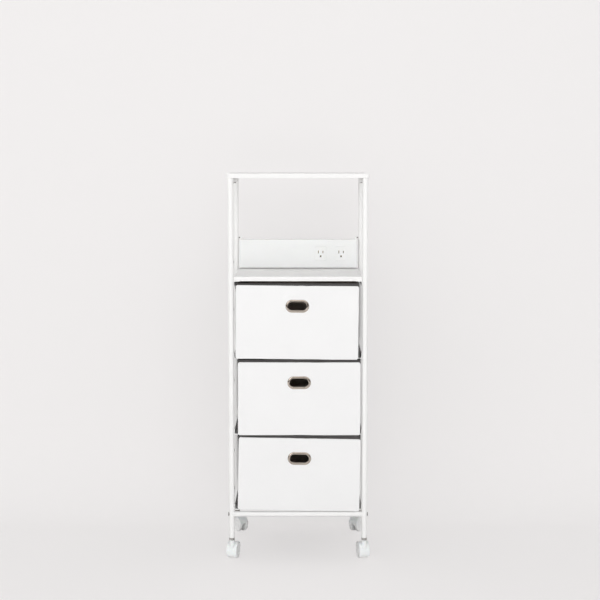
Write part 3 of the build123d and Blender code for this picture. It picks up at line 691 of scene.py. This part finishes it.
def front_skin(number, seed):
    """Covered front: rings that run from the handle hole to the outer edge on both faces. The face
    swells a little, dips towards the hole, and its outer edge wanders by a few tenths."""
    low, high = (np.array(corner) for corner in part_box(f"drawer_{number}_front"))
    hole_x, hole_z, straight, radius = hole_facts(number)
    corners = [np.arctan2(z - hole_z, x - hole_x) for x in (low[0], high[0]) for z in (low[2], high[2])]
    fine = [np.linspace(a - CORNER_RAY_SPREAD, a + CORNER_RAY_SPREAD, CORNER_RAYS) for a in corners]
    angles = np.sort(np.concatenate([around(FRONT_RAYS), *fine]) % (2 * pi))
    hole = stadium(angles, straight, radius + SLEEVE)
    reach = (hole_x - low[0], high[0] - hole_x, hole_z - low[2], high[2] - hole_z)
    rng = np.random.default_rng(seed)
    wander = sum(
        rng.uniform(0.05, 0.22) * MM * np.sin(k * angles + rng.uniform(0, 2 * pi)) for k in (3, 5, 8, 13)
    )

    def ring(share, inset):
        """Outline a share of the way from the hole to the outer edge less the inset."""
        sides = [side - inset for side in reach]
        outer = rounded_box(angles, *sides, max(FRONT_CORNER - inset, 1 * MM))
        outer *= 1 + ((wander - EDGE_TAKEN_IN) / np.linalg.norm(outer, axis=1))[:, None]
        return hole + share * (outer - hole)

    front_y, back_y = low[1], high[1]
    rows, depths = [], []
    for share in (0, *np.linspace(0.02, 1, FACE_RINGS) ** 0.9):
        rows.append(ring(share, CLOTH_EDGE))
        depths.append(np.full(len(angles), front_y))
    for bend in np.linspace(0, pi / 2, 6)[1:]:
        rows.append(ring(1, CLOTH_EDGE * (1 - sin(bend))))
        depths.append(np.full(len(angles), front_y + CLOTH_EDGE * (1 - cos(bend))))
    for share, inset in ((1, 0), (1, BACK_FOLD), (0.6, BACK_FOLD), (0, BACK_FOLD)):
        rows.append(ring(share, inset))
        depths.append(np.full(len(angles), back_y))
    rows, depths = np.array(rows), np.array(depths)
    x, z = rows[..., 0] + hole_x, rows[..., 1] + hole_z
    face = depths < front_y + 0.1 * MM
    to_side = np.minimum(x - low[0], high[0] - x) / (0.5 * (high[0] - low[0]))
    to_end = np.minimum(z - low[2], high[2] - z) / (0.5 * (high[2] - low[2]))
    free = ease(np.minimum(to_side, to_end), 0.0, 0.35)
    from_hole = ease(np.hypot(x - hole_x, (z - hole_z) * 1.5), 0.02, 0.06)
    ripple = 0.12 * np.sin(26 * x + 1.3 * seed) * np.sin(31 * z + seed) + 0.1 * np.sin(55 * x - 18 * z + seed)
    swell = MM * (FACE_SWELL + ripple) * free * from_hole
    y = depths - np.where(face, swell, 0)
    return skin(tilt(number, np.stack([x, y, z], 2)), round_rows=True)


def grommet_skin(number):
    """Handle rim: a closed profile of offset from the hole's edge and depth, carried round the hole."""
    hole_x, hole_z, straight, radius = hole_facts(number)
    face_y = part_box(f"drawer_{number}_front")[0][1]
    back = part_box(f"drawer_{number}_grommet")[1][1] - face_y
    lip = np.linspace(pi, pi / 2, 7)
    crown = np.linspace(pi / 2, 0, 11)
    profile = [(0, back), (0, LIP_BASE)]
    profile += [(LIP_WIDTH * (1 + cos(t)), LIP_BASE - LIP_HEIGHT * sin(t)) for t in lip]
    profile += [(CROWN_START + CROWN_WIDTH * cos(t), CROWN_BASE - CROWN_HEIGHT * sin(t)) for t in crown]
    profile += [(GROMMET_RIM, 0), (RIM_SLEEVE, 0), (RIM_SLEEVE, back)]
    profile = np.array(profile)
    turn = np.linspace(-pi / 2, pi / 2, 33)
    flat = np.linspace(-1, 1, 15)[1:-1]
    path, direction = [], []
    for side, start in ((1, 0), (-1, pi)):
        path.append(np.tile([side * straight, 0.0], (len(turn), 1)))
        path.append(np.stack([-side * flat * straight, np.zeros(len(flat))], 1))
        direction.append(np.stack([np.cos(turn + start), np.sin(turn + start)], 1))
        direction.append(np.tile([0.0, side], (len(flat), 1)))
    path, direction = np.concatenate(path), np.concatenate(direction)
    ring = path[None] + (radius + profile[:, 0])[:, None, None] * direction[None]
    y = np.broadcast_to((face_y + profile[:, 1])[:, None], ring.shape[:2])
    return skin(tilt(number, np.stack([ring[..., 0] + hole_x, y, ring[..., 1] + hole_z], 2)), round_rows=True)


def body_skin(number, seed):
    """Soft-sided drawer: an outline carried up the outside, over the hem and down the inside. The
    sides pull in above the base, bulge out along it, and wave a little; the hem is a folded band.
    Quads inside the handle hole are left out, and their edges are joined through the wall."""
    low, high = (np.array(corner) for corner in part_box(f"drawer_{number}_body"))
    middle, half = (low + high) / 2, (high - low) / 2
    hole_x, hole_z, straight, radius = hole_facts(number)
    flat_x, flat_y = half[0] - BODY_CORNER, half[1] - BODY_CORNER
    near_hole = (np.arange(-14, 15) * HOLE_STEP + hole_x - middle[0]) / flat_x
    away = np.abs(WALL_SHARES * flat_x - (hole_x - middle[0])) > HOLE_ROOM_X
    front_share = np.sort(np.concatenate([WALL_SHARES[away], near_hole]))
    points, directions = rounded_path(flat_x, flat_y, front_share, WALL_SHARES, BODY_CORNER_STEPS)
    columns = len(points)
    outline = points + BODY_CORNER * directions
    steps = np.linalg.norm(np.diff(outline, axis=0, append=outline[:1]), axis=1)
    around_length = np.concatenate([[0], np.cumsum(steps)])

    top = high[2] + HEM_RISE
    hem = top - HEM_HEIGHT
    climb = np.concatenate(
        [
            low[2] + BASE_CLIMB,
            np.linspace(low[2] + WALL_CLIMB_START, hole_z - HOLE_ROOM_Z, 8),
            hole_z + np.arange(-6, 7) * HOLE_STEP,
            [hole_z + HOLE_ROOM_Z, hem - 3 * MM, hem - HEM_FOLD, hem + HEM_FOLD, hem + 4 * MM],
            [top - 4 * MM, top - 1.5 * MM],
        ]
    )
    climb = np.unique(np.round(climb, 6))
    count = len(climb)
    bottom_in = np.array([3.0, 1.5, 0.45]) * MM
    bottom_up = np.array([0.0, 0.25, 1.2]) * MM
    rim_in = np.array([0.35, 1.5, 2.65]) * MM
    rim_up = np.array([-0.5, 0.0, -0.5]) * MM
    floor = low[2] + BODY_WALL
    inner_climb = climb[climb > floor + 2 * MM][::-1]
    inset = np.concatenate([bottom_in, np.zeros(count), rim_in, np.full(len(inner_climb), BODY_WALL), [BODY_WALL]])
    height = np.concatenate([low[2] + bottom_up, climb, top + rim_up, inner_climb, [floor]])
    rows = len(height)

    ring = points[None] + (BODY_CORNER - inset)[:, None, None] * directions[None]
    x, y = ring[..., 0], ring[..., 1]
    z = np.broadcast_to(height[:, None], x.shape)
    above = z - low[2]
    folded = ease(z, hem - HEM_FOLD, hem + HEM_FOLD) * HEM_RAISE
    outside = (inset < BODY_WALL / 2)[:, None]
    x = x + folded * directions[None, :, 0] * outside
    y = y + folded * directions[None, :, 1] * (outside & (y > 0))

    rng = np.random.default_rng(seed)
    waves = np.zeros_like(x)
    for _ in range(7):
        run, rise, phase = rng.uniform(8, 34), rng.uniform(-16, 16), rng.uniform(0, 2 * pi)
        waves += rng.uniform(0.1, 0.34) * MM * np.sin(run * (x + 1.7 * y) + rise * z + phase)
    held = ease(above, 6 * MM, 40 * MM) * (1 - 0.6 * ease(z, hem - 10 * MM, top))
    for side in (-1, 1):
        room = RUNNER_INNER_X - side * middle[0] - half[0]
        bulge = min(BULGE_MOST, max(room - BULGE_ROOM, 0))
        push = bulge * np.exp(-(((above - BULGE_HEIGHT) / BULGE_SPREAD) ** 2))
        pull = SIDE_PULL * ease(above, 15 * MM, 36 * MM) * (1 - 0.7 * ease(z, hem - 30 * MM, top - 6 * MM))
        belly = SIDE_BELLY * held * np.cos(np.clip(y / flat_y, -1, 1) * pi / 2) ** 2
        share = ease(side * x / half[0], 0.45, 1.0)
        x = x + side * share * (push - pull - belly + waves * held)
    back = ease(y / half[1], 0.9, 1.0)
    y = y - back * (BACK_BELLY * held * np.cos(np.clip(x / flat_x, -1, 1) * pi / 2) ** 2 + np.abs(waves) * held)

    world = np.stack([x + middle[0], y + middle[1], z], 2)
    front_wall = (directions[:, 1] < -0.999)[None] & np.ones((rows, 1), bool)
    off_x, off_z = world[..., 0] - hole_x, z - hole_z
    i, j = grid_quads(rows, columns, False)
    beside = (j + 1) % columns
    corner_x = (off_x[i, j] + off_x[i, beside] + off_x[i + 1, j] + off_x[i + 1, beside]) / 4
    corner_z = (off_z[i, j] + off_z[i + 1, j]) / 2
    reach = np.hypot(corner_x - np.clip(corner_x, -straight, straight), corner_z)
    whole_wall = front_wall[i, j] & front_wall[i, beside]
    upright = (i >= len(bottom_in)) & (i != len(bottom_in) + count - 1) & (i < rows - 2)
    rim_rows = (i >= len(bottom_in) + count - 1) & (i < len(bottom_in) + count + len(rim_in))
    gone = whole_wall & upright & ~rim_rows & (reach < radius + SLEEVE)
    number_of = np.arange(rows * columns).reshape(rows, columns)
    quads = np.stack([number_of[i, j], number_of[i, beside], number_of[i + 1, beside], number_of[i + 1, j]], 1)
    border = np.intersect1d(quads[gone], quads[~gone])
    flat_world = world.reshape(-1, 3)
    bx, bz = off_x.ravel()[border], off_z.ravel()[border]
    bcx = np.clip(bx, -straight, straight)
    length = np.maximum(np.hypot(bx - bcx, bz), 1e-9)
    flat_world[border, 0] = hole_x + bcx + (bx - bcx) / length * (radius + SLEEVE)
    flat_world[border, 2] = hole_z + bz / length * (radius + SLEEVE)
    world = flat_world.reshape(rows, columns, 3)

    climbed = np.concatenate([[0], np.cumsum(np.hypot(np.diff(height), np.diff(inset)))])
    uv = np.stack(np.meshgrid(around_length, climbed, indexing="xy"), 2)
    lining = np.arange(rows) >= len(bottom_in) + count + 2
    made = skin(world, uv=uv, paint=lining.astype(int), keep=~gone)

    edges = np.stack([quads[gone], np.roll(quads[gone], -1, 1)], 2).reshape(-1, 2)
    forth, back_again = edges @ (rows * columns, 1), edges @ (1, rows * columns)
    rim = edges[~np.isin(forth, back_again)]
    positions = world.reshape(-1, 3)
    wall_middle = low[1] + BODY_WALL / 2
    outer = rim[positions[rim[:, 0], 1] < wall_middle]
    inner = border[positions[border, 1] > wall_middle]
    apart = positions[outer][:, :, None, ::2] - positions[inner][:, ::2]
    across = inner[np.argmin(np.hypot(apart[..., 0], apart[..., 1]), 2)]
    walls = np.concatenate([outer, across[:, ::-1]], 1).tolist()
    made["faces"] += walls
    made["paints"] = np.concatenate([made["paints"], np.zeros(len(walls), int)])
    made["uv"] = np.concatenate([made["uv"], np.zeros((4 * len(walls), 2))])
    hem_row = int(np.argmax(height > hem + 1.5 * MM))
    return made, world[hem_row], low[1]


def stitches(loop, front_y, pitch=3.6 * MM):
    """Stitches along a closed line on the cloth, the front wall left out: each a short cord that
    tapers to both ends as the root of one less the square of its share, and lies along the line."""
    closed = np.concatenate([loop, loop[:1]])
    length = np.concatenate([[0], np.cumsum(np.linalg.norm(np.diff(closed, axis=0), axis=1))])
    where = np.arange(0, length[-1], pitch)
    share = np.linspace(-1, 1, 5)
    along = (where[:, None] + share * 1.2 * MM) % length[-1]
    path = np.stack([np.interp(along, length, closed[:, k]) for k in range(3)], 2)
    path = path[path[:, :, 1].min(1) > front_y + 5 * MM]
    run = path[:, -1] - path[:, 0]
    run /= np.linalg.norm(run, axis=1, keepdims=True)
    out = np.stack([run[:, 1], -run[:, 0], np.zeros(len(run))], 1)
    turn = around(6)
    thickness = 0.3 * MM * np.sqrt(np.maximum(1 - share**2, 0.05))
    ring = out[:, None, None] * np.cos(turn)[:, None] + np.array([0, 0, 1.0]) * np.sin(turn)[:, None]
    tubes = path[:, :, None] + thickness[:, None, None] * ring
    return [skin(tube) for tube in tubes]


for number in DRAWERS:
    drawer = f"drawer_{number}"
    make_piece(
        f"{drawer}_cloth_front", [front_skin(number, number)], [front_cloth], drawer,
        [f"{drawer}_front"],
    )
    make_piece(
        f"{drawer}_handle_rim", [grommet_skin(number)], [polished_steel], drawer,
        [f"{drawer}_grommet"], crease=50,
    )
    shell, hem_line, front_y = body_skin(number, 10 + number)
    make_piece(
        f"{drawer}_cloth_body", [shell], [body_cloth, lining_cloth], drawer, [f"{drawer}_body"],
        crease=50,
    )
    make_piece(f"{drawer}_hem_stitches", stitches(hem_line, front_y), [thread], drawer)

# Finishes of the CAD nodes that stay

PLAIN_FINISHES = {
    "runners": powder_coat,
    "screws": dark_steel,
    "inserts": zinc_steel,
    "stems": zinc_steel,
    "nuts": zinc_steel,
    "axle": dark_steel,
    "power_panel_housing": panel_plastic,
    "power_panel_rear_cover": panel_plastic,
    "receptacle": panel_plastic,
    "receptacle_contacts": contact_brass,
    "cord_gland": panel_plastic,
    "hood": caster_plastic,
    "grommet_washer": polished_steel,
    "base_board": base_cover,
}
for name, shown in nodes.items():
    for ending, finish in PLAIN_FINISHES.items():
        if name.endswith(ending):
            shown.data.materials.clear()
            shown.data.materials.append(finish)

# Floor and wall behind the cart

WALL_Y = 0.42
WALL_CURVE = 0.25
WALL_TOP = 9.0
FLOOR_FRONT = -4.3
STAGE_HALF_WIDTH = 14.0
PAPER = (0.845, 0.832, 0.828, 1)
PAPER_GLOW = (0.9, 0.88, 0.876, 1)
GLOW_SHARE = 0.66


def backdrop():
    """Floor that turns up into a wall through a quarter circle; seen from behind it lets light through.
    To the camera alone it glows a little, so that the paper is as pale as the photograph's."""
    bend = np.linspace(0, pi / 2, 17)
    y = np.concatenate([[FLOOR_FRONT], WALL_Y - WALL_CURVE + WALL_CURVE * np.sin(bend), [WALL_Y]])
    z = np.concatenate([[0.0], WALL_CURVE * (1 - np.cos(bend)), [WALL_TOP]])
    x = np.array([-STAGE_HALF_WIDTH, STAGE_HALF_WIDTH])
    points = np.stack([np.broadcast_to(x, (len(y), 2)), np.repeat(y[:, None], 2, 1), np.repeat(z[:, None], 2, 1)], 2)
    faces = [[2 * k, 2 * k + 1, 2 * k + 3, 2 * k + 2] for k in range(len(y) - 1)]
    mesh = bpy.data.meshes.new("backdrop")
    mesh.from_pydata(points.reshape(-1, 3).tolist(), [], faces)
    mesh.shade_smooth()
    material = bpy.data.materials.new("pale_backdrop")
    material.use_nodes = True
    tree = material.node_tree
    shader = tree.nodes["Principled BSDF"]
    shader.inputs["Base Color"].default_value = PAPER
    shader.inputs["Roughness"].default_value = 0.9
    shader.inputs["Specular IOR Level"].default_value = 0.1
    glow = node(tree, "ShaderNodeEmission", {"Color": PAPER_GLOW, "Strength": 1.0})
    to_camera = node(tree, "ShaderNodeLightPath").outputs["Is Camera Ray"]
    looked_at = calculate(tree, "MULTIPLY", to_camera, GLOW_SHARE)
    paper = node(tree, "ShaderNodeMixShader", {0: looked_at, 1: shader.outputs[0], 2: glow.outputs[0]})
    clear = node(tree, "ShaderNodeBsdfTransparent")
    behind = node(tree, "ShaderNodeNewGeometry").outputs["Backfacing"]
    choice = node(tree, "ShaderNodeMixShader", {0: behind, 1: paper.outputs[0], 2: clear.outputs[0]})
    tree.links.new(choice.outputs[0], tree.nodes["Material Output"].inputs["Surface"])
    mesh.materials.append(material)
    made = bpy.data.objects.new("backdrop", mesh)
    bpy.context.scene.collection.objects.link(made)


backdrop()


def soft_light(name, place_at, aim, size, power, colour, glossy):
    """Square soft light that shines from one point at another and doesn't show itself."""
    lamp = bpy.data.lights.new(name, "AREA")
    lamp.shape, lamp.size, lamp.energy, lamp.color = "SQUARE", size, power, colour
    made = bpy.data.objects.new(name, lamp)
    made.location = place_at
    made.rotation_euler = (Vector(aim) - Vector(place_at)).to_track_quat("-Z", "Y").to_euler()
    made.visible_camera = False
    made.visible_glossy = glossy
    bpy.context.scene.collection.objects.link(made)


soft_light("key_light", (-1.9, -3.2, 1.6), (0, 0, 0.5), 2.0, 17, (1, 0.99, 0.98), True)
soft_light("front_light", (0.4, -4.6, 1.3), (0, 0, 0.5), 3.0, 64, (1, 1, 1), False)

# Studio sky: it fades upwards, reflections of it are dark near the floor and at both sides, and the
# camera sees it plain

world = bpy.data.worlds.new("studio")
bpy.context.scene.world = world
world.use_nodes = True
tree = world.node_tree
sky = tree.nodes["Background"]
sky.inputs["Color"].default_value = (1, 1, 1, 1)
ray = node(tree, "ShaderNodeLightPath")
heading = node(tree, "ShaderNodeSeparateXYZ", {0: place(tree)})
height = heading.outputs["Z"]
aside = calculate(tree, "ABSOLUTE", heading.outputs["X"])
tree.links.new(remap(tree, height, 0.0, 0.9, 0.9, 0.42), sky.inputs["Strength"])
low_down = remap(tree, height, 0.12, 0.45, 0.12, 1.0)
far_aside = remap(tree, aside, 0.6, 0.9, 1.0, 0.25)
shade = calculate(tree, "MULTIPLY", low_down, far_aside)
mirrored = node(tree, "ShaderNodeBackground", {"Color": (1, 0.99, 0.98, 1), "Strength": shade})
pale = node(tree, "ShaderNodeBackground", {"Color": (0.9, 0.89, 0.885, 1), "Strength": 1.0})
reflected = ray.outputs["Is Glossy Ray"]
glossy = node(tree, "ShaderNodeMixShader", {0: reflected, 1: sky.outputs[0], 2: mirrored.outputs[0]})
seen = calculate(tree, "MAXIMUM", ray.outputs["Is Camera Ray"], ray.outputs["Is Transmission Ray"])
shown_world = node(tree, "ShaderNodeMixShader", {0: seen, 1: glossy.outputs[0], 2: pale.outputs[0]})
tree.links.new(shown_world.outputs[0], tree.nodes["World Output"].inputs["Surface"])

# Camera at the photograph's viewing angle

camera = bpy.data.cameras.new("photo_view")
camera.sensor_width = 36
camera.lens = 81.53
camera.shift_x = -0.00833
camera.shift_y = -0.04
eye = bpy.data.objects.new("photo_view", camera)
eye.location = (0.01854, -3.7, 1.06336)
eye.rotation_euler = (radians(90 - 4.9), 0, 0)
bpy.context.scene.collection.objects.link(eye)
bpy.context.scene.camera = eye
bpy.context.scene.view_settings.view_transform = "Standard"
